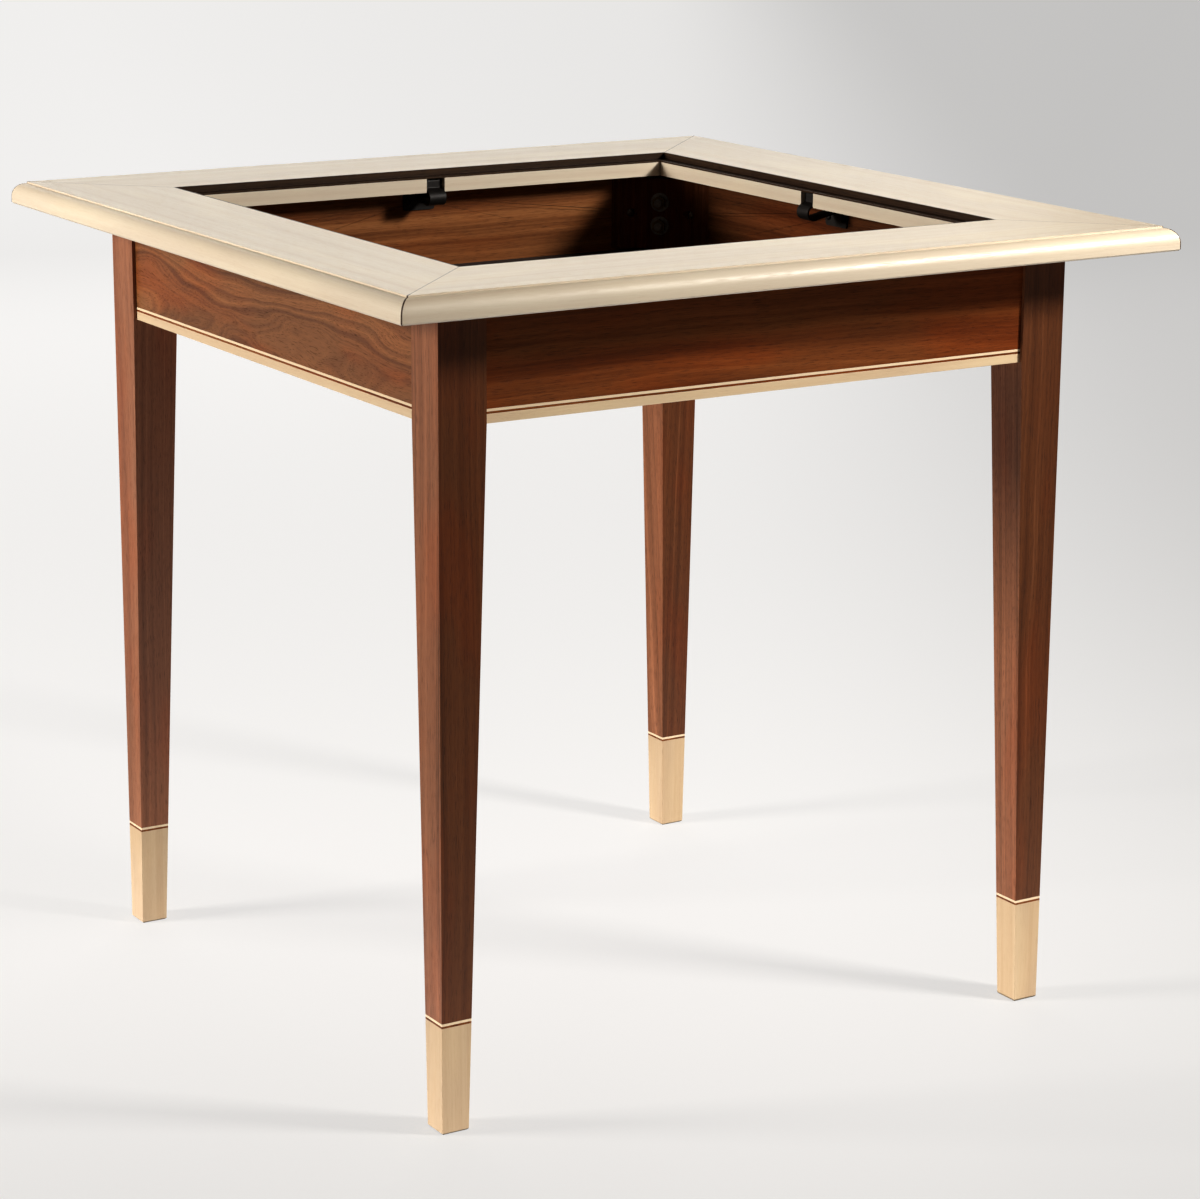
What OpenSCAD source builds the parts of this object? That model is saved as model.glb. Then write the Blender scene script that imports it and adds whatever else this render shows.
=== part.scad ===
// Square gaming table. A mitred maple top frame has a lined seat for a drop-in board and is open
// to a shallow well below. The base has four tapered walnut legs and four banded aprons, drawn
// together by corner blocks and hanger bolts. A bent strap at the middle of each side holds the
// top down. The origin is on the floor under the centre, with the front side towards -Y.

/* [Top] */
// Height of the top face above the floor
table_h = 762; // [740:1:800]
// Side of the square top
top_side = 813; // [800:1:830]
// Thickness of the top rails
rail_t = 22.2; // [21:0.1:26]
// Side of the square opening for the drop-in board
opening_side = 571.5; // [568:0.5:574]
// Depth of the lined seat below the top face
seat_depth = 6.4; // [5:0.1:7]
// Width of the ledge that carries the board
ledge_w = 14; // [13:0.5:16]
// Thickness of the liner on the seat and its wall
liner_t = 1.5; // [1:0.1:2]
// Width of the moulded outer edge
moulding_w = 12; // [9:0.5:14]
// Height of the rounded part of the moulded edge
moulding_h = 13.7; // [10:0.1:15]
// Step between the flat top and the rounded edge
quirk = 1.5; // [0.5:0.1:2]
// Easing along the bottom of the outer edge
rail_ease = 1.5; // [0.5:0.1:2]

/* [Mitre splines] */
// Thickness of the hidden spline in each mitre
spline_t = 3.2; // [2:0.1:5]
// Width of a spline across the mitre
spline_w = 24; // [16:1:30]
// Distance from the middle of the table to the inner end of a spline, along a side
spline_from = 296; // [290:1:310]
// Distance from the middle of the table to the outer end of a spline, along a side
spline_to = 380; // [340:1:385]

/* [Legs] */
// Distance from the middle of the table to the outer faces of the legs
leg_face = 332; // [328:1:336]
// Width of a leg above the taper
leg_w = 46.5; // [44:0.5:48]
// Width of a leg at the floor
foot_w = 26.6; // [22:0.1:32]
// Height of the maple foot
foot_h = 100; // [70:1:130]
// Height of each thin walnut line
line_h = 1.9; // [1:0.1:3]
// Height of each thin maple string
string_h = 2.4; // [1:0.1:4]
// Easing round the bottom of a foot
foot_ease = 1.2; // [0.5:0.1:2]
// Diameter of the dowel between a foot and its leg
dowel_d = 10; // [6:1:12]
// Length of that dowel
dowel_l = 64; // [40:1:80]

/* [Aprons] */
// Depth of an apron from the top frame to its lower edge
apron_h = 105.4; // [100:0.1:115]
// Thickness of an apron
apron_t = 19; // [18:0.5:21]
// Setback of an apron behind the outer faces of the legs
reveal = 3.3; // [2:0.1:5]
// Height of the maple band along the lower edge
band_h = 8.3; // [5:0.1:12]

/* [Well] */
// Height of the lined floor of the well above the lower edge of the aprons
well_floor_up = 23.3; // [20:0.1:24]
// Thickness of the bottom panel
panel_t = 6; // [4:0.5:7]
// Thickness of its lining
lining_t = 1.5; // [1:0.1:2]
// Depth of the groove that carries the panel
groove = 5; // [3:0.5:7]
// Gap between the panel and the legs
panel_gap = 0.5; // [0.2:0.1:2]

/* [Corner blocks] */
// Thickness of a corner block
block_t = 22; // [20:0.5:24]
// Height of a corner block
block_h = 75; // [70:1:76]
// Height of the middle of a block above the lower edge of the aprons
block_up = 64.3; // [63:0.1:65]
// Width taken off the inner corner of a leg to seat the block
leg_flat = 5; // [4:0.5:7]

/* [Fastenings] */
// Diameter of a hanger bolt
bolt_d = 8; // [6:1:10]
// Distance between the two bolts of a corner
bolt_pitch = 25; // [22:1:30]
// Depth of a bolt in the leg
bolt_in_leg = 30; // [20:1:34]
// Width of a nut across its flats
nut_af = 13; // [11:0.5:17]
// Height of a nut
nut_h = 6.5; // [5:0.1:8]
// Diameter of a washer
washer_d = 20; // [17:0.5:22]
// Thickness of a washer
washer_t = 1.6; // [1:0.1:2.5]
// Diameter of the wood screws
screw_d = 4.2; // [3:0.1:5]
// Diameter of their heads
screw_head_d = 7.4; // [6:0.1:8.5]
// Height of their heads
screw_head_h = 2.4; // [1.5:0.1:3.5]

/* [Hold-down straps] */
// Width of a strap
strap_w = 19; // [16:0.5:20]
// Thickness of a strap
strap_t = 2; // [1.5:0.1:2.5]
// Width of the notch in the ledge that a strap passes through
notch_w = 20.6; // [20.5:0.1:24]
// Setback of a strap's middle line behind the edge of the ledge
strap_back = 5.75; // [5:0.05:7]
// Radius of the heel below the ledge
heel_r = 7; // [5:0.5:8]
// Rise of the arm from the heel to the apron, in degrees
arm_rise = 12; // [8:1:14]
// Width of the leaf on the apron
leaf_w = 36; // [34:1:44]
// Height of the leaf
leaf_h = 18; // [16:1:20]
// Height of the middle of the leaf below the top frame
leaf_down = 13.5; // [12:0.5:15]
// Distance between the two screws of a leaf
leaf_screw_pitch = 25; // [24:0.5:32]

/* [Hidden] */
$fn = 48;
e = 0.5; // overshoot of a cut past the face that it opens

maple = [0.88, 0.80, 0.66];
walnut = [0.37, 0.21, 0.14];
dark_walnut = [0.24, 0.16, 0.11];
felt = [0.12, 0.10, 0.09];
black_steel = [0.13, 0.11, 0.10];
zinc = [0.72, 0.72, 0.70];
brass_zinc = [0.72, 0.62, 0.38];
beech = [0.80, 0.66, 0.46];

SIDES = ["front", "right", "back", "left"];
CORNERS = ["front_left", "front_right", "back_right", "back_left"];
SIDE_PIECES = [
    "top_rail", "board_liner", "holddown_strap", "apron", "apron_band", "apron_line", "apron_string"
];
CORNER_PIECES = ["leg", "leg_string", "foot_line", "foot", "corner_block"];

// Heights
rail_z = table_h - rail_t;
seat_z = table_h - seat_depth;
ledge_z = seat_z - liner_t;
line_z = foot_h;
string_z = line_z + line_h;
leg_z = string_z + string_h;
apron_z = rail_z - apron_h;
apron_line_z = apron_z + band_h;
apron_string_z = apron_line_z + line_h;
apron_board_z = apron_string_z + string_h;
well_z = apron_z + well_floor_up;
panel_z = well_z - lining_t - panel_t;
block_mid_z = apron_z + block_up;
block_z = block_mid_z - block_h / 2;

// Distances from the middle of the table, square to a side
edge = top_side / 2;
wall = opening_side / 2;
lip = wall - ledge_w;
leg_in = leg_face - leg_w;
apron_out = leg_face - reveal;
apron_in = apron_out - apron_t;

// Distances from the middle of the table, along a diagonal
block_back = (2 * leg_in + leg_flat) / sqrt(2);
block_front = block_back - block_t;

// The wood screws
recess_w = 0.9; // width of the cross recess in a head
pocket_gap = 0.6; // clearance round a head in its pocket
screw_in_apron = 12.5;
screw_in_rail = 12;
top_screw_l = 36;
block_screw_from_end = 15.5; // from the end of a block's front face, along the apron
block_screw_bed = 11.7; // from the apron to the head
top_screw_past_wall = 8.75; // from the wall of the board's opening

// The places of the screws of a corner block, as [along a side, out from the middle]
block_screw = [block_front * sqrt(2) - apron_in + block_screw_from_end, apron_in - block_screw_bed];
top_screw_out = wall + top_screw_past_wall;
top_screw = [(block_front + block_back) * sqrt(2) / 2 - top_screw_out, top_screw_out];

// The hold-down strap
strap_d = lip + strap_back;
leaf_d = apron_in - strap_t;
leaf_z = rail_z - leaf_down;
strap_bend = 3; // radius of the two bends above the heel
strap_bend_up = 5.2; // height of the lower bend above the underside of the rail
strap_turn = 70; // turn of the lower bend, in degrees
strap_run = 4; // straight length before the heel
leaf_r = 3; // radius of the leaf's corners

// Points of an arc round a centre, from one angle to another
function arc(centre, r, from, to, steps = 10) = [
    for (i = [0:steps])
        let (a = from + (to - from) * i / steps)
        centre + r * [cos(a), sin(a)]
];
function unit(v) = v / norm(v);
// The direction square to a path at its point i
function square_to(path, i) =
    let (
        last = len(path) - 1,
        t = unit(path[min(i + 1, last)] - path[max(i - 1, 0)])
    )
    [-t[1], t[0]];
// The outline of a strip of a given thickness that follows a path
function strip(path, t) = concat(
    [for (i = [0:len(path) - 1]) path[i] + square_to(path, i) * t / 2],
    [for (i = [len(path) - 1:-1:0]) path[i] - square_to(path, i) * t / 2]
);

// Turns a piece drawn at the front to another side, or one at the front left to another corner
module turned(k) {
    rotate([0, 0, 90 * k])
        children();
}

// A bar along the front side, whose section is a list of [out from the middle, height]
module side_bar(section, length) {
    rotate([90, 0, 90])
        linear_extrude(height = length, center = true)
            polygon([for (p = section) [-p[0], p[1]]]);
}

function box_section(d0, d1, z0, z1) = [[d0, z0], [d1, z0], [d1, z1], [d0, z1]];

// The quarter of the table that belongs to the front side, bounded by the two mitres
module front_quarter() {
    linear_extrude(height = table_h + e)
        polygon([[0, 0], [-edge, -edge], [edge, -edge]]);
}

module mitred_bar(section) {
    intersection() {
        side_bar(section, top_side);
        front_quarter();
    }
}

// Top frame

rail_section = concat(
    [[lip, rail_z], [edge - rail_ease, rail_z], [edge, rail_z + rail_ease]],
    [
        for (a = [0:7.5:90])
            [
                edge - moulding_w + moulding_w * cos(a),
                table_h - quirk - moulding_h + moulding_h * sin(a)
            ]
    ],
    [[edge - moulding_w, table_h], [wall, table_h], [wall, ledge_z], [lip, ledge_z]]
);

// A flat tongue that lies across the front left mitre
module spline_tongue() {
    mid_z = rail_z + rail_t / 2;
    rotate([0, 0, 225])
        translate([spline_from * sqrt(2), -spline_w / 2, mid_z - spline_t / 2])
            cube([(spline_to - spline_from) * sqrt(2), spline_w, spline_t]);
}

module strap_notch() {
    translate([-notch_w / 2, -(strap_d + strap_t / 2 + e), rail_z - e])
        cube([notch_w, strap_back + strap_t + 2 * e, ledge_z - rail_z + 2 * e]);
    translate([-notch_w / 2, -wall, ledge_z - strap_t])
        cube([notch_w, ledge_w, strap_t + e]);
}

module top_rail(side) {
    color(maple)
        turned(side)
            difference() {
                mitred_bar(rail_section);
                strap_notch();
                for (end = [0, 1])
                    turned(end)
                        spline_tongue();
                side_top_screws(0);
            }
}

module board_liner(side) {
    section = [
        [lip, ledge_z], [wall, ledge_z], [wall, table_h],
        [wall - liner_t, table_h], [wall - liner_t, seat_z], [lip, seat_z]
    ];
    color(dark_walnut)
        turned(side)
            mitred_bar(section);
}

module mitre_splines() {
    color(beech)
        for (corner = [0:3])
            turned(corner)
                spline_tongue();
}

// Legs and feet

// One of the two wedges whose overlap is a leg, with the outer corner of the leg at the origin
module leg_wedge() {
    translate([0, leg_w, 0])
        rotate([90, 0, 0])
            linear_extrude(height = leg_w)
                polygon([[0, 0], [foot_w, 0], [leg_w, apron_z], [leg_w, rail_z], [0, rail_z]]);
}

// The part of the front left leg between two heights, feet and lines included
module leg_length(z0, z1) {
    intersection() {
        translate([-leg_face, -leg_face, 0])
            intersection() {
                leg_wedge();
                mirror([1, -1, 0])
                    leg_wedge();
            }
        translate([-leg_face - e, -leg_face - e, z0])
            cube([leg_w + 2 * e, leg_w + 2 * e, z1 - z0]);
    }
}

module front_left_dowel() {
    mid = foot_w / 2 + (leg_w - foot_w) / 2 * foot_h / apron_z;
    translate([mid - leg_face, mid - leg_face, foot_h - dowel_l / 2])
        cylinder(d = dowel_d, h = dowel_l);
}

module leg(corner) {
    color(walnut)
        turned(corner)
            difference() {
                leg_length(leg_z, rail_z);
                rotate([0, 0, 225])
                    translate([block_front, -leg_w, apron_board_z])
                        cube([block_t, 2 * leg_w, apron_h]);
                front_left_dowel();
                corner_bolts();
            }
}

module leg_string(corner) {
    color(maple)
        turned(corner)
            difference() {
                leg_length(string_z, leg_z);
                front_left_dowel();
            }
}

module foot_line(corner) {
    color(walnut)
        turned(corner)
            difference() {
                leg_length(line_z, string_z);
                front_left_dowel();
            }
}

module foot(corner) {
    color(maple)
        turned(corner)
            difference() {
                leg_length(0, foot_h);
                front_left_dowel();
                translate([foot_w / 2 - leg_face, foot_w / 2 - leg_face, 0])
                    for (turn = [0:90:270])
                        rotate([0, 0, turn])
                            translate([foot_w / 2, 0, 0])
                                rotate([0, 45, 0])
                                    cube([foot_ease * sqrt(2), leg_w, foot_ease * sqrt(2)], center = true);
            }
}

module foot_dowels() {
    color(beech)
        for (corner = [0:3])
            turned(corner)
                front_left_dowel();
}

// Aprons

module apron_strip(z0, z1) {
    side_bar(box_section(apron_in, apron_out, z0, z1), 2 * leg_in);
}

module apron(side) {
    color(walnut)
        turned(side)
            difference() {
                apron_strip(apron_board_z, rail_z);
                side_bar(
                    box_section(apron_in - e, apron_in + groove, panel_z, panel_z + panel_t),
                    2 * leg_in + 2 * e
                );
                side_block_screws(0);
                side_strap_screws(0);
            }
}

module apron_band(side) {
    color(maple)
        turned(side)
            apron_strip(apron_z, apron_line_z);
}

module apron_line(side) {
    color(walnut)
        turned(side)
            apron_strip(apron_line_z, apron_string_z);
}

module apron_string(side) {
    color(maple)
        turned(side)
            apron_strip(apron_string_z, apron_board_z);
}

// Well

// A square plate that reaches a given distance from the middle and clears the four legs
module notched_plate(reach, z, t) {
    clear = leg_in - panel_gap;
    translate([0, 0, z])
        linear_extrude(height = t)
            union() {
                square([2 * reach, 2 * clear], center = true);
                square([2 * clear, 2 * reach], center = true);
            }
}

module bottom_panel() {
    color(dark_walnut)
        notched_plate(apron_in + groove, panel_z, panel_t);
}

module well_lining() {
    color(felt)
        notched_plate(apron_in - panel_gap, panel_z + panel_t, lining_t);
}

// Corner blocks

module corner_block(corner) {
    back = block_back * sqrt(2) - apron_in;
    front = block_front * sqrt(2) - apron_in;
    color(walnut)
        turned(corner)
            difference() {
                translate([0, 0, block_z])
                    linear_extrude(height = block_h)
                        polygon([
                            [-apron_in, -front], [-apron_in, -back],
                            [-back, -apron_in], [-front, -apron_in]
                        ]);
                corner_bolts();
                for (side = [0, 3])
                    turned(side) {
                        side_block_screws(block_t);
                        side_top_screws(block_h);
                    }
            }
}

// Fastenings

// Puts a piece that points along +X on each bolt line of the front left corner
module on_bolt_lines() {
    rotate([0, 0, 225])
        for (up = [-1, 1])
            translate([0, 0, block_mid_z + up * bolt_pitch / 2])
                children();
}

module corner_bolts() {
    end = block_front - washer_t - nut_h - bolt_d / 2;
    on_bolt_lines()
        translate([end, 0, 0])
            rotate([0, 90, 0])
                cylinder(d = bolt_d, h = block_back + bolt_in_leg - end);
}

module hanger_bolts() {
    color(zinc)
        for (corner = [0:3])
            turned(corner)
                corner_bolts();
}

module ring(outer_d, h) {
    difference() {
        cylinder(d = outer_d, h = h);
        translate([0, 0, -e])
            cylinder(d = bolt_d, h = h + 2 * e);
    }
}

module bolt_washers() {
    color(zinc)
        for (corner = [0:3])
            turned(corner)
                on_bolt_lines()
                    translate([block_front - washer_t, 0, 0])
                        rotate([0, 90, 0])
                            ring(washer_d, washer_t);
}

module bolt_nuts() {
    color(brass_zinc)
        for (corner = [0:3])
            turned(corner)
                on_bolt_lines()
                    translate([block_front - washer_t - nut_h, 0, 0])
                        rotate([0, 90, 0])
                            difference() {
                                cylinder(d = nut_af / cos(30), h = nut_h, $fn = 6);
                                translate([0, 0, -e])
                                    cylinder(d = bolt_d, h = nut_h + 2 * e);
                            }
}

// A domed wood screw that points along +Z with its head below z = 0. With a pocket of zero or
// more it has no recess and is the cut for the screw, with a round pocket of that length.
module wood_screw(length, pocket = -1) {
    r = screw_d / 2;
    head_r = screw_head_d / 2;
    difference() {
        rotate_extrude()
            polygon(concat(
                [[0, length], [r, length - 2 * r], [r, 0], [head_r, 0]],
                [
                    for (a = [0:15:75])
                        [head_r * cos(a), -screw_head_h / 2 * (1 + sin(a))]
                ],
                [[0, -screw_head_h]]
            ));
        if (pocket < 0)
            for (turn = [0, 90])
                rotate([0, 0, turn])
                    translate([0, 0, -screw_head_h])
                        cube([head_r, recess_w, screw_head_h], center = true);
    }
    if (pocket > 0)
        translate([0, 0, -pocket])
            cylinder(r = head_r + pocket_gap, h = pocket);
}

// The screws at both ends of the front side that go through the corner blocks into the apron
module side_block_screws(pocket = -1) {
    for (end = [-1, 1])
        translate([end * block_screw[0], -block_screw[1], block_mid_z])
            rotate([90, 0, 0])
                wood_screw(apron_in - block_screw[1] + screw_in_apron, pocket);
}

// The screws at both ends of the front side that go up through the corner blocks into the rail
module side_top_screws(pocket = -1) {
    for (end = [-1, 1])
        translate([end * top_screw[0], -top_screw[1], rail_z + screw_in_rail - top_screw_l])
            wood_screw(top_screw_l, pocket);
}

module side_strap_screws(pocket = -1) {
    for (end = [-1, 1])
        translate([end * leaf_screw_pitch / 2, -leaf_d, leaf_z])
            rotate([90, 0, 0])
                wood_screw(strap_t + screw_in_apron, pocket);
}

module block_screws() {
    color(zinc)
        for (side = [0:3])
            turned(side)
                side_block_screws();
}

module top_screws() {
    color(zinc)
        for (side = [0:3])
            turned(side)
                side_top_screws();
}

module strap_screws() {
    color(zinc)
        for (side = [0:3])
            turned(side)
                side_strap_screws();
}

// Hold-down straps

// The middle line of a strap, as [out from the middle, height]: the hook over the ledge, the
// finger down through the notch, the heel below it and the arm that rises to the leaf
function strap_path() =
    let (
        hook_z = ledge_z - strap_t / 2,
        bend_z = rail_z + strap_bend_up,
        hook = arc([strap_d + strap_bend, hook_z - strap_bend], strap_bend, 90, 180),
        turn = arc([strap_d - strap_bend, bend_z], strap_bend, 0, -strap_turn),
        leave = turn[len(turn) - 1] - strap_run * [sin(strap_turn), cos(strap_turn)],
        heel_mid = leave - heel_r * [cos(180 - strap_turn), sin(180 - strap_turn)],
        heel = arc(heel_mid, heel_r, 180 - strap_turn, 270 + arm_rise, 16),
        low = heel[len(heel) - 1],
        reach = leaf_d + strap_t / 2 - low[0]
    )
    concat(
        [[wall - e, hook_z]],
        hook,
        turn,
        heel,
        [low + reach * [1, tan(arm_rise)]]
    );

module leaf_outline() {
    square([leaf_w - 2 * leaf_r, leaf_h], center = true);
    square([leaf_w, leaf_h - 2 * leaf_r], center = true);
    for (x = [-1, 1], z = [-1, 1])
        translate([x * (leaf_w / 2 - leaf_r), z * (leaf_h / 2 - leaf_r)])
            circle(r = leaf_r);
}

module holddown_strap(side) {
    color(black_steel)
        turned(side)
            difference() {
                union() {
                    side_bar(strip(strap_path(), strap_t), strap_w);
                    translate([0, -leaf_d, leaf_z])
                        rotate([90, 0, 0])
                            linear_extrude(height = strap_t)
                                leaf_outline();
                }
                side_strap_screws(0);
            }
}

for (k = [0:3]) {
    top_rail(k);
    board_liner(k);
    holddown_strap(k);
    apron(k);
    apron_band(k);
    apron_line(k);
    apron_string(k);
    leg(k);
    leg_string(k);
    foot_line(k);
    foot(k);
    corner_block(k);
}
mitre_splines();
foot_dowels();
bottom_panel();
well_lining();
hanger_bolts();
bolt_washers();
bolt_nuts();
block_screws();
top_screws();
strap_screws();
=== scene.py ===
"""The looks of a square gaming table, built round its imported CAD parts.

All the visible pieces are CAD nodes. Each gets eased edges and a procedural material: figured
walnut, pale maple, a dark liner, felt, blackened steel or plated steel. Lengths are in metres.
"""

import math
import random

import bpy
from mathutils import Matrix, Vector

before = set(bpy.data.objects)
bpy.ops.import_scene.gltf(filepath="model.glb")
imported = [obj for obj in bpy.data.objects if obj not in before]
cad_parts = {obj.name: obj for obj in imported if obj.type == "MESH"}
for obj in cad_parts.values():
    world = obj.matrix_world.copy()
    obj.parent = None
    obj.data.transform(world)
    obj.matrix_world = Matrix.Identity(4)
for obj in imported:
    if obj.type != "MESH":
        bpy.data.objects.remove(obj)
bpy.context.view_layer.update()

scene = bpy.context.scene

SIDES = ("front", "right", "back", "left")
CORNERS = ("front_left", "front_right", "back_right", "back_left")

CAMERA_PLACE = (-1.6975, -2.8044, 1.2182)
CAMERA_TURN = (-31.67, -14.49, 0.36)  # azimuth, pitch and roll in degrees
LENS = 103.3  # millimetres, on a sensor 36 mm wide

FLOOR_HALF = 60  # half the width of the paper
FLOOR_GLOW = 0.50  # light that the paper shows everywhere
MIDDLE_GLOW = 0.24  # more of it beside and behind the table
RIGHT_DIM = 0.17  # less of it to the right of the table
FAR_LEFT_GLOW = 0.15  # more of it far off on the left
FAR_RIGHT_GLOW = 0.04  # more of it far off on the right
FAR_BOUNCE = 0.05  # light that comes up from beyond the paper
DARK_ROOM = 0.04  # light that comes down from the room
RIGHTWARD = (0.85, -0.53, 0)  # across the floor, to the camera's right
ONWARD = (0.53, 0.85, 0)  # across the floor, away from the camera


# ---------------------------------------------------------------- node helpers

def new_node(tree, kind, inputs=None, **settings):
    """Adds a node. An input is a number or colour, or the output socket that feeds it."""
    node = tree.nodes.new(kind)
    for key, value in settings.items():
        setattr(node, key, value)
    for key, value in (inputs or {}).items():
        if isinstance(value, bpy.types.NodeSocket):
            tree.links.new(value, node.inputs[key])
        else:
            node.inputs[key].default_value = value
    return node


def maths(tree, operation, a, b=0.0):
    return new_node(tree, "ShaderNodeMath", {0: a, 1: b}, operation=operation).outputs[0]


def vector_maths(tree, operation, a, b=(0, 0, 0)):
    """A vector operation whose result is a vector."""
    return new_node(tree, "ShaderNodeVectorMath", {0: a, 1: b}, operation=operation).outputs[0]


def dot(tree, a, b):
    node = new_node(tree, "ShaderNodeVectorMath", {0: a, 1: b}, operation="DOT_PRODUCT")
    return node.outputs["Value"]


def length(tree, a):
    node = new_node(tree, "ShaderNodeVectorMath", {0: a}, operation="LENGTH")
    return node.outputs["Value"]


def own_place(tree):
    """The object's own coordinates."""
    return new_node(tree, "ShaderNodeTexCoord").outputs["Object"]


def split(tree, vector):
    """The X, Y and Z sockets of a vector."""
    return new_node(tree, "ShaderNodeSeparateXYZ", {0: vector}).outputs


def mix(tree, factor, a, b, blend="MIX"):
    """Mixes two colours. The Mix node's colour sockets are inputs 6 and 7 and output 2."""
    node = new_node(
        tree, "ShaderNodeMix", {0: factor, 6: a, 7: b}, data_type="RGBA", blend_type=blend
    )
    return node.outputs[2]


def ramp(tree, value, stops):
    """A colour ramp. Each stop is (position, colour)."""
    node = new_node(tree, "ShaderNodeValToRGB", {0: value})
    elements = node.color_ramp.elements
    while len(elements) < len(stops):
        elements.new(0.5)
    for element, (position, colour) in zip(elements, stops):
        element.position = position
        element.color = (*colour, 1)
    return node.outputs[0]


def remap(tree, value, low, high, at_low, at_high, interpolation="LINEAR"):
    """at_low below low, at_high above high, and between them in between."""
    return new_node(
        tree, "ShaderNodeMapRange", {0: value, 1: low, 2: high, 3: at_low, 4: at_high},
        interpolation_type=interpolation,
    ).outputs[0]


def step(tree, value, low, high):
    """0 below low, 1 above high and smooth between."""
    return remap(tree, value, low, high, 0.0, 1.0, "SMOOTHSTEP")


def noise(tree, vector, size, stretch=1.0, detail=2.0, rough=0.5):
    """Noise whose features are about one size across the grain and stretched along it."""
    scaled = new_node(
        tree, "ShaderNodeMapping", {0: vector, 3: (1 / (size * stretch), 1 / size, 1 / size)}
    ).outputs[0]
    return new_node(
        tree, "ShaderNodeTexNoise",
        {"Vector": scaled, "Scale": 1, "Detail": detail, "Roughness": rough},
    )


def shader_of(name):
    """A new material with its node tree and its shader."""
    mat = bpy.data.materials.new(name)
    mat.use_nodes = True
    return mat, mat.node_tree, mat.node_tree.nodes["Principled BSDF"]


def finish_shader(tree, shader, colour, rough, height, depth):
    """Joins a colour, a roughness and a bump height to the shader."""
    bump = new_node(
        tree, "ShaderNodeBump", {"Strength": 1.0, "Distance": depth, "Height": height}
    )
    tree.links.new(colour, shader.inputs["Base Color"])
    tree.links.new(rough, shader.inputs["Roughness"])
    tree.links.new(bump.outputs[0], shader.inputs["Normal"])


# ---------------------------------------------------------------- camera, stage and lights

def add_camera():
    """A long lens from the front left, a little above the table and looking down at it."""
    azimuth, pitch, roll = (math.radians(a) for a in CAMERA_TURN)
    forward = Vector((
        -math.sin(azimuth) * math.cos(pitch),
        math.cos(azimuth) * math.cos(pitch),
        math.sin(pitch),
    ))
    level = Vector((math.cos(azimuth), math.sin(azimuth), 0))
    upright = level.cross(forward)
    right = level * math.cos(roll) + upright * math.sin(roll)
    up = right.cross(forward)
    data = bpy.data.cameras.new("camera")
    data.sensor_width = 36
    data.lens = LENS
    camera = bpy.data.objects.new("camera", data)
    scene.collection.objects.link(camera)
    camera.matrix_world = Matrix.Translation(CAMERA_PLACE) @ Matrix((
        (right.x, up.x, -forward.x, 0),
        (right.y, up.y, -forward.y, 0),
        (right.z, up.z, -forward.z, 0),
        (0, 0, 0, 1),
    ))
    scene.camera = camera


def paper():
    """Pale paper that glows as if lit by lamps of its own, less to the right of the table."""
    mat, tree, shader = shader_of("pale_paper")
    shader.inputs["Base Color"].default_value = (0.20, 0.198, 0.197, 1)
    shader.inputs["Roughness"].default_value = 0.8
    shader.inputs["Specular IOR Level"].default_value = 0.1
    shader.inputs["Emission Color"].default_value = (1, 0.99, 0.98, 1)
    place = own_place(tree)
    bearing = vector_maths(tree, "NORMALIZE", place)
    middle = maths(tree, "MULTIPLY", step(tree, dot(tree, place, ONWARD), -1.6, 0.4), MIDDLE_GLOW)
    far_glow = remap(
        tree, dot(tree, bearing, RIGHTWARD), -0.2, 0.2, FAR_LEFT_GLOW, FAR_RIGHT_GLOW
    )
    far = maths(tree, "MULTIPLY", far_glow, step(tree, length(tree, place), 0.8, 6.5))
    dim = maths(tree, "MULTIPLY", step(tree, dot(tree, place, RIGHTWARD), 0.1, 1.2), RIGHT_DIM)
    extra = maths(tree, "ADD", middle, far)
    glow = maths(tree, "ADD", extra, maths(tree, "SUBTRACT", FLOOR_GLOW, dim))
    tree.links.new(glow, shader.inputs["Emission Strength"])
    return mat


def add_floor():
    """A paper floor that reaches past the view in every direction.

    The table's soft light doesn't see its glow: the paper_bounce light stands for that.
    """
    half = FLOOR_HALF
    mesh = bpy.data.meshes.new("floor")
    corners = [(-half, -half, 0), (half, -half, 0), (half, half, 0), (-half, half, 0)]
    mesh.from_pydata(corners, [], [(0, 1, 2, 3)])
    floor = bpy.data.objects.new("floor", mesh)
    scene.collection.objects.link(floor)
    floor.data.materials.append(paper())
    floor.visible_diffuse = False


def add_softbox(name, place, target, size, watts, colour):
    """A rectangular light of a (width, height) at a place, turned towards a target."""
    data = bpy.data.lights.new(name, "AREA")
    data.shape = "RECTANGLE"
    data.size, data.size_y = size
    data.energy = watts
    data.color = colour
    light = bpy.data.objects.new(name, data)
    scene.collection.objects.link(light)
    light.location = place
    light.rotation_mode = "QUATERNION"
    light.rotation_quaternion = (Vector(target) - Vector(place)).to_track_quat("-Z", "Y")
    return light


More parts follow.
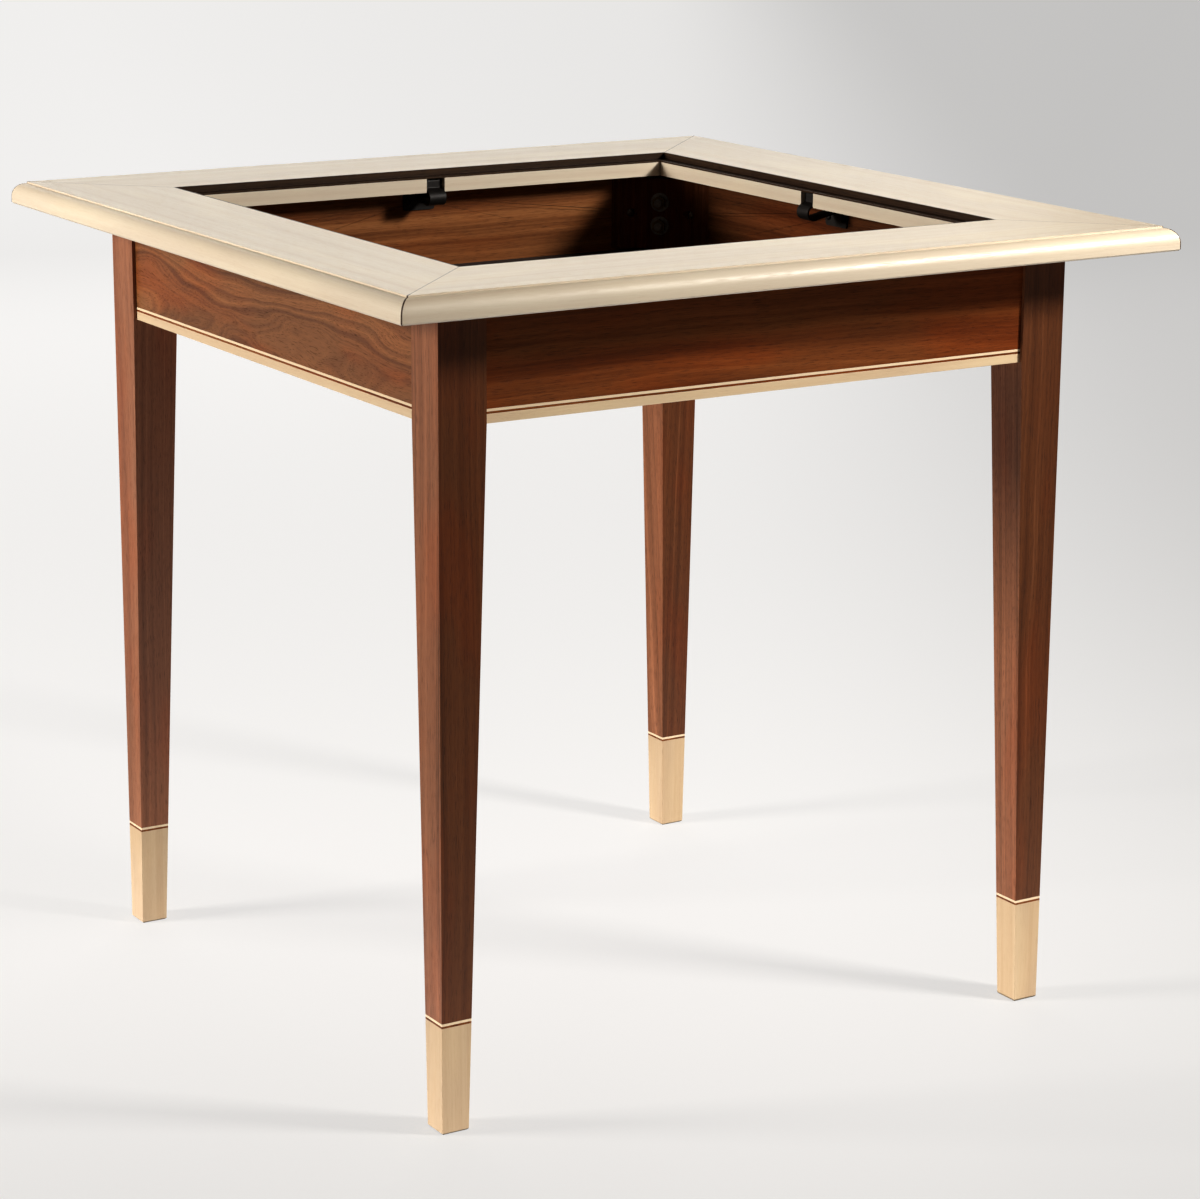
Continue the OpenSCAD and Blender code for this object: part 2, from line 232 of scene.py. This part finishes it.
def add_light():
    """Two softboxes, a panel behind the table and light from the paper, in a dark room."""
    world = bpy.data.worlds.new("studio")
    world.use_nodes = True
    scene.world = world
    tree = world.node_tree
    background = tree.nodes["Background"]
    background.inputs["Color"].default_value = (1, 0.96, 0.91, 1)
    toward = new_node(tree, "ShaderNodeTexCoord").outputs["Generated"]
    height = split(tree, toward)[2]
    strength = remap(tree, height, -0.3, 0.3, FAR_BOUNCE, DARK_ROOM)
    tree.links.new(strength, background.inputs["Strength"])
    add_softbox(
        "left_softbox", place=(-3.0, 1.1, 1.45), target=(0, 0, 0.5),
        size=(0.8, 0.8), watts=112, colour=(1, 0.97, 0.92),
    )
    add_softbox(
        "right_softbox", place=(1.42, -1.64, 1.72), target=(0, 0, 0.6),
        size=(0.40, 0.40), watts=66, colour=(1, 0.98, 0.94),
    )
    add_softbox(
        "back_panel", place=(1.6, 3.9, 1.9), target=(0, 0, 0.76),
        size=(3.6, 1.6), watts=42, colour=(1, 0.99, 0.97),
    )
    bounce = add_softbox(
        "paper_bounce", place=(0.1, -0.13, 0.0006), target=(0.1, -0.13, 1),
        size=(1.3, 1.3), watts=7.3, colour=(1, 0.98, 0.95),
    )
    bounce.visible_camera = False
    scene.view_settings.view_transform = "Standard"
    scene.view_settings.gamma = 0.78


# ---------------------------------------------------------------- wood

# Each palette is a ramp of (tone, colour) from the dark of the grain to the light.
WALNUT = (
    (0.24, (0.058, 0.0170, 0.0052)),
    (0.40, (0.140, 0.0430, 0.0125)),
    (0.54, (0.232, 0.0780, 0.0235)),
    (0.72, (0.360, 0.1420, 0.0480)),
)
PALE_WALNUT = (
    (0.24, (0.080, 0.0270, 0.0095)),
    (0.40, (0.195, 0.0720, 0.0250)),
    (0.54, (0.310, 0.1280, 0.0470)),
    (0.72, (0.460, 0.2150, 0.0850)),
)
BROWN_WALNUT = (
    (0.24, (0.062, 0.0215, 0.0075)),
    (0.40, (0.150, 0.0580, 0.0200)),
    (0.54, (0.262, 0.1120, 0.0410)),
    (0.72, (0.400, 0.1900, 0.0760)),
)
DEEP_WALNUT = (
    (0.24, (0.034, 0.0110, 0.0038)),
    (0.40, (0.080, 0.0270, 0.0090)),
    (0.54, (0.135, 0.0480, 0.0160)),
    (0.72, (0.215, 0.0860, 0.0330)),
)
LEG_WALNUT = (
    (0.20, (0.064, 0.0210, 0.0070)),
    (0.42, (0.110, 0.0370, 0.0125)),
    (0.58, (0.155, 0.0560, 0.0200)),
    (0.95, (0.440, 0.1900, 0.0950)),
)
PALE_LEG_WALNUT = (
    (0.20, (0.130, 0.0460, 0.0180)),
    (0.42, (0.220, 0.0820, 0.0350)),
    (0.58, (0.290, 0.1150, 0.0520)),
    (0.85, (0.440, 0.1900, 0.0950)),
)
RAIL_MAPLE = (
    (0.22, (0.640, 0.505, 0.365)),
    (0.42, (0.735, 0.625, 0.490)),
    (0.60, (0.790, 0.695, 0.560)),
    (0.80, (0.830, 0.750, 0.625)),
)
WARM_MAPLE = (
    (0.22, (0.700, 0.520, 0.340)),
    (0.42, (0.800, 0.640, 0.450)),
    (0.60, (0.850, 0.700, 0.510)),
    (0.80, (0.880, 0.750, 0.570)),
)
BAND_MAPLE = (
    (0.22, (0.580, 0.420, 0.260)),
    (0.42, (0.670, 0.510, 0.345)),
    (0.60, (0.720, 0.570, 0.395)),
    (0.80, (0.760, 0.620, 0.450)),
)
# Painted shade: a darker copy of the maple for the feet. It holds back the light that the
# paper_bounce lamp throws on them near the floor.
SHADED_FOOT_MAPLE = (
    (0.22, (0.470, 0.320, 0.195)),
    (0.42, (0.545, 0.400, 0.265)),
    (0.60, (0.590, 0.450, 0.305)),
    (0.80, (0.630, 0.490, 0.355)),
)
DARK_LINER = (
    (0.25, (0.024, 0.0110, 0.0050)),
    (0.50, (0.052, 0.0270, 0.0130)),
    (0.75, (0.095, 0.0540, 0.0290)),
)
MITRE_DARK = (0.10, 0.058, 0.032, 1)


def along_grain(tree, axis):
    """The object's own coordinates, turned so that X runs along the grain."""
    parts = split(tree, own_place(tree))
    order = {"x": (0, 1, 2), "y": (1, 0, 2), "z": (2, 0, 1)}[axis]
    turned = new_node(tree, "ShaderNodeCombineXYZ", {i: parts[k] for i, k in enumerate(order)})
    return turned.outputs[0]


def mitre_line(tree):
    """1 on the thin dark line of a mitre, which gapes a little at the moulded edge."""
    parts = split(tree, own_place(tree))
    x = maths(tree, "ABSOLUTE", parts[0])
    y = maths(tree, "ABSOLUTE", parts[1])
    apart = maths(tree, "ABSOLUTE", maths(tree, "SUBTRACT", x, y))
    at_edge = step(tree, maths(tree, "MAXIMUM", x, y), 0.387, 0.391)
    half_width = maths(tree, "ADD", maths(tree, "MULTIPLY", at_edge, 0.0006), 0.0004)
    return maths(tree, "LESS_THAN", apart, half_width)


def wood(name, axis, seed, stops, pith, ring, warp, warp_size, streaks, pores, blush, rough,
         mitred=False, painted_side_light=0.0, varnish=0.16):
    """Sawn wood with a satin finish.

    axis: the one that its grain runs along. stops: palette. pith: (across, across) place of
    the middle of the tree. ring: width of a growth ring. warp, warp_size: how far and over
    what length the grain wanders. streaks, pores: strength of the long streaks and of the
    fine dark pores. blush: (colour, strength) of broad warm patches. mitred: draws the joints
    at its ends. painted_side_light: how much lighter its faces that face X are painted than
    its other faces, painted light for the lamps that light those sides more. varnish: how full
    its finish is.
    """
    mat, tree, shader = shader_of(name)
    rng = random.Random(seed)
    offset = tuple(rng.uniform(-9, 9) for _ in range(3))
    place = along_grain(tree, axis)
    shifted = vector_maths(tree, "ADD", place, offset)

    wander = noise(tree, shifted, warp_size, 3.2, 2.5, 0.45).outputs["Color"]
    centred = vector_maths(tree, "SUBTRACT", wander, (0.5, 0.5, 0.5))
    moved = vector_maths(tree, "MULTIPLY", centred, (0, warp, warp))
    bent = vector_maths(tree, "ADD", place, moved)
    bent_shifted = vector_maths(tree, "ADD", bent, offset)

    from_pith = vector_maths(tree, "SUBTRACT", bent, (0, *pith))
    across = vector_maths(tree, "MULTIPLY", from_pith, (0.02, 1, 1))
    turns = maths(tree, "MULTIPLY", length(tree, across), 1 / ring)
    rings = new_node(
        tree, "ShaderNodeTexNoise", {"W": turns, "Scale": 1, "Detail": 4, "Roughness": 0.66},
        noise_dimensions="1D",
    ).outputs["Fac"]

    broad = noise(tree, bent_shifted, 0.02, 14, 3, 0.55).outputs["Fac"]
    fine = noise(tree, bent_shifted, 0.0022, 60, 3, 0.6).outputs["Fac"]
    broad_part = maths(tree, "MULTIPLY", broad, streaks * 0.55)
    fine_part = maths(tree, "MULTIPLY", fine, streaks * 0.45)
    ring_part = maths(tree, "MULTIPLY", rings, 1 - streaks)
    tone = maths(tree, "ADD", ring_part, maths(tree, "ADD", broad_part, fine_part))
    # Painted light: the faces that face X are made lighter than the others, standing in for the
    # stronger light that falls on those sides.
    if painted_side_light:
        facing = new_node(tree, "ShaderNodeTexCoord").outputs["Normal"]
        x_facing_share = maths(tree, "ABSOLUTE", split(tree, facing)[0])
        tone = maths(tree, "ADD", tone, maths(tree, "MULTIPLY", x_facing_share, painted_side_light))
    colour = ramp(tree, tone, stops)

    blush_colour, blush_strength = blush
    patches = noise(tree, bent_shifted, 0.05, 3.5, 2, 0.5).outputs["Fac"]
    warm = maths(tree, "MULTIPLY", step(tree, patches, 0.42, 0.7), blush_strength)
    colour = mix(tree, warm, colour, (*blush_colour, 1), "SOFT_LIGHT")

    pore_noise = noise(tree, bent_shifted, 0.0004, 34, 1, 0.5).outputs["Fac"]
    pore = step(tree, pore_noise, 0.56, 0.68)
    darkest = (*stops[0][1], 1)
    colour = mix(tree, maths(tree, "MULTIPLY", pore, pores), colour, darkest, "MULTIPLY")
    if mitred:
        colour = mix(tree, mitre_line(tree), colour, MITRE_DARK)

    gloss = maths(tree, "ADD", rough, maths(tree, "MULTIPLY", pore, 0.18))
    gloss = maths(tree, "ADD", gloss, maths(tree, "MULTIPLY", fine, 0.08))
    height = maths(tree, "SUBTRACT", maths(tree, "MULTIPLY", fine, 0.35), pore)
    finish_shader(tree, shader, colour, gloss, height, 0.00004)
    shader.inputs["Specular IOR Level"].default_value = varnish
    return mat


def walnut(name, axis, seed, stops=WALNUT, pith=(0.35, 0.1), ring=0.006, warp=0.012,
           warp_size=0.11, streaks=0.45, blush=0.35, painted_side_light=0.0, varnish=0.08):
    """Walnut, with open pores and red-brown patches."""
    return wood(
        name, axis, seed, stops, pith, ring, warp, warp_size, streaks, pores=0.45,
        blush=((0.75, 0.40, 0.18), blush), rough=0.36, painted_side_light=painted_side_light, varnish=varnish,
    )


def maple(name, axis, seed, stops=WARM_MAPLE, mitred=False, varnish=0.16):
    """Maple, close and even."""
    return wood(
        name, axis, seed, stops, pith=(0.5, 0.25), ring=0.009, warp=0.010, warp_size=0.12,
        streaks=0.5, pores=0.10, blush=((0.95, 0.84, 0.66), 0.25), rough=0.34,
        mitred=mitred, varnish=varnish,
    )


def liner_wood(name, axis, seed):
    """The dark liner of the board's seat."""
    return wood(
        name, axis, seed, DARK_LINER, pith=(0.4, 0.6), ring=0.004, warp=0.006, warp_size=0.1,
        streaks=0.6, pores=0.5, blush=((0.5, 0.35, 0.25), 0.2), rough=0.4,
    )


# ---------------------------------------------------------------- felt and steel

def felt():
    """Nearly black felt with a faint warm nap."""
    mat, tree, shader = shader_of("felt")
    place = own_place(tree)
    fibres = noise(tree, place, 0.0007, 1, 4, 0.7).outputs["Fac"]
    clouds = noise(tree, place, 0.03, 1, 2, 0.5).outputs["Fac"]
    fibre_part = maths(tree, "MULTIPLY", fibres, 0.7)
    tone = maths(tree, "ADD", fibre_part, maths(tree, "MULTIPLY", clouds, 0.3))
    colour = ramp(tree, tone, ((0.3, (0.006, 0.005, 0.0045)), (0.7, (0.022, 0.017, 0.014))))
    rough = maths(tree, "ADD", 0.86, maths(tree, "MULTIPLY", fibres, 0.1))
    finish_shader(tree, shader, colour, rough, fibres, 0.0004)
    shader.inputs["Sheen Weight"].default_value = 0.08
    shader.inputs["Sheen Roughness"].default_value = 0.6
    shader.inputs["Sheen Tint"].default_value = (0.6, 0.4, 0.3, 1)
    return mat


ZINC = ((0.34, 0.32, 0.29), (0.20, 0.18, 0.16))  # its light and its dark
BRONZE = ((0.27, 0.19, 0.11), (0.15, 0.10, 0.06))


def plated(name, tints, rough):
    """Plated steel, a little mottled between two tints, with fine brushing round it."""
    light, dark = tints
    mat, tree, shader = shader_of(name)
    place = own_place(tree)
    mottle = noise(tree, place, 0.003, 1, 3, 0.6).outputs["Fac"]
    brush = noise(tree, place, 0.00025, 12, 2, 0.5).outputs["Fac"]
    colour = ramp(tree, mottle, ((0.3, dark), (0.7, light)))
    gloss = maths(tree, "ADD", rough, maths(tree, "MULTIPLY", mottle, 0.2))
    finish_shader(tree, shader, colour, gloss, brush, 0.00002)
    shader.inputs["Metallic"].default_value = 1.0
    return mat


def threaded(name, tints, rough, pitch):
    """Plated steel with a thread's ridges across the diagonals of the table."""
    mat = plated(name, tints, rough)
    tree = mat.node_tree
    parts = split(tree, own_place(tree))
    out = maths(
        tree, "ADD", maths(tree, "ABSOLUTE", parts[0]), maths(tree, "ABSOLUTE", parts[1])
    )
    turns = maths(tree, "MULTIPLY", out, math.tau / (pitch * math.sqrt(2)))
    ridges = maths(tree, "SINE", turns)
    bump = new_node(
        tree, "ShaderNodeBump", {"Strength": 1.0, "Distance": 0.0004, "Height": ridges}
    )
    tree.links.new(bump.outputs[0], tree.nodes["Principled BSDF"].inputs["Normal"])
    return mat


def blackened_steel():
    """Blackened steel, dull and unevenly dark."""
    mat, tree, shader = shader_of("blackened_steel")
    place = own_place(tree)
    mottle = noise(tree, place, 0.004, 1, 4, 0.65).outputs["Fac"]
    grit = noise(tree, place, 0.0005, 1, 2, 0.5).outputs["Fac"]
    dark, light = (0.007, 0.0052, 0.0042), (0.020, 0.0140, 0.0105)
    colour = ramp(tree, mottle, ((0.3, dark), (0.7, light)))
    rough = maths(tree, "ADD", 0.42, maths(tree, "MULTIPLY", mottle, 0.25))
    finish_shader(tree, shader, colour, rough, grit, 0.00003)
    shader.inputs["Metallic"].default_value = 0.35
    return mat


# ---------------------------------------------------------------- dressing the CAD nodes

def dress(node, mat, ease, segments=2):
    """Gives a CAD node one material and rounds its edges by ease."""
    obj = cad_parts[node]
    if not obj.material_slots:
        obj.data.materials.append(mat)
    for material_slot in obj.material_slots:
        material_slot.material = mat
    weld = obj.modifiers.new("weld", "WELD")
    weld.merge_threshold = 0.00002
    bevel = obj.modifiers.new("eased_edges", "BEVEL")
    bevel.width = ease
    bevel.segments = segments
    bevel.limit_method = "ANGLE"
    bevel.angle_limit = math.radians(32)
    bevel.use_clamp_overlap = True
    bevel.harden_normals = False
    obj.modifiers.new("normals", "WEIGHTED_NORMAL").keep_sharp = False


def dress_top():
    for k, side in enumerate(SIDES):
        axis = "xy"[k % 2]
        rail = maple("maple_rail_" + side, axis, 11 + k, RAIL_MAPLE, mitred=True, varnish=0.4)
        dress("top_rail_" + side, rail, 0.0003)
        dress("board_liner_" + side, liner_wood("dark_liner_" + side, axis, 31 + k), 0.0002)
    dress("mitre_splines", maple("maple_spline", "z", 19), 0.0002)


def apron_board(side, axis, k):
    """The left apron is cut across a swirl. The others are straighter and differ in tone."""
    if side == "left":
        return walnut(
            "walnut_apron_left", axis, 44, BROWN_WALNUT, pith=(-0.36, 0.66), ring=0.011,
            warp=0.060, warp_size=0.075, streaks=0.25, blush=0.6, varnish=0.18,
        )
    tones = {"front": WALNUT, "right": DEEP_WALNUT, "back": PALE_WALNUT}[side]
    return walnut(
        "walnut_apron_" + side, axis, 41 + k, tones, pith=(0.9, 0.35), ring=0.007,
        warp=0.014, warp_size=0.14, blush=0.4,
    )


def leg_post(corner, k):
    """The back left leg is cut from paler wood."""
    pale = corner == "back_left"
    # Painted light: the leg's faces that face X are painted lighter than its other faces, the
    # paler leg less so.
    return walnut(
        "walnut_leg_" + corner, "z", 71 + k, PALE_LEG_WALNUT if pale else LEG_WALNUT,
        pith=(0.8, 0.55), ring=0.0045, painted_side_light=0.14 if pale else 0.26,
        varnish=0.3 if pale else 0.2,
    )


def dress_base():
    for k, side in enumerate(SIDES):
        axis = "xy"[k % 2]
        dress("apron_" + side, apron_board(side, axis, k), 0.0003)
        dress("apron_band_" + side, maple("maple_band_" + side, axis, 51 + k, BAND_MAPLE), 0.0003)
        dress("apron_line_" + side, walnut("walnut_line_" + side, axis, 55 + k), 0.0001)
        dress("apron_string_" + side, maple("maple_string_" + side, axis, 59 + k), 0.0001)
    for k, corner in enumerate(CORNERS):
        dress("leg_" + corner, leg_post(corner, k), 0.0007, 3)
        dress("leg_string_" + corner, maple("maple_leg_string_" + corner, "z", 81 + k), 0.0001)
        dress("foot_line_" + corner, walnut("walnut_foot_line_" + corner, "z", 85 + k), 0.0001)
        # The feet take the darker maple palette, which is painted shade.
        dress("foot_" + corner, maple("maple_foot_" + corner, "z", 91 + k, SHADED_FOOT_MAPLE), 0.0006, 3)
        block = walnut("walnut_block_" + corner, "z", 101 + k, LEG_WALNUT)
        dress("corner_block_" + corner, block, 0.0006)
    dress("foot_dowels", maple("maple_dowel", "z", 99), 0.0002)
    dress("bottom_panel", walnut("walnut_panel", "x", 111, pith=(0.2, 0.9)), 0.0003)
    dress("well_lining", felt(), 0.0003)


def dress_metal():
    zinc = plated("aged_zinc_plate", ZINC, 0.38)
    bronze = plated("bronzed_steel", BRONZE, 0.40)
    steel = blackened_steel()
    dress("hanger_bolts", threaded("threaded_steel", ZINC, 0.38, 0.00125), 0.0004)
    dress("bolt_washers", zinc, 0.0002)
    dress("bolt_nuts", bronze, 0.0005)
    for node in ("block_screws", "top_screws"):
        dress(node, zinc, 0.0001)
    dress("strap_screws", steel, 0.0001)
    for side in SIDES:
        dress("holddown_strap_" + side, steel, 0.0003)


add_camera()
add_floor()
add_light()
dress_top()
dress_base()
dress_metal()

bpy.context.view_layer.update()
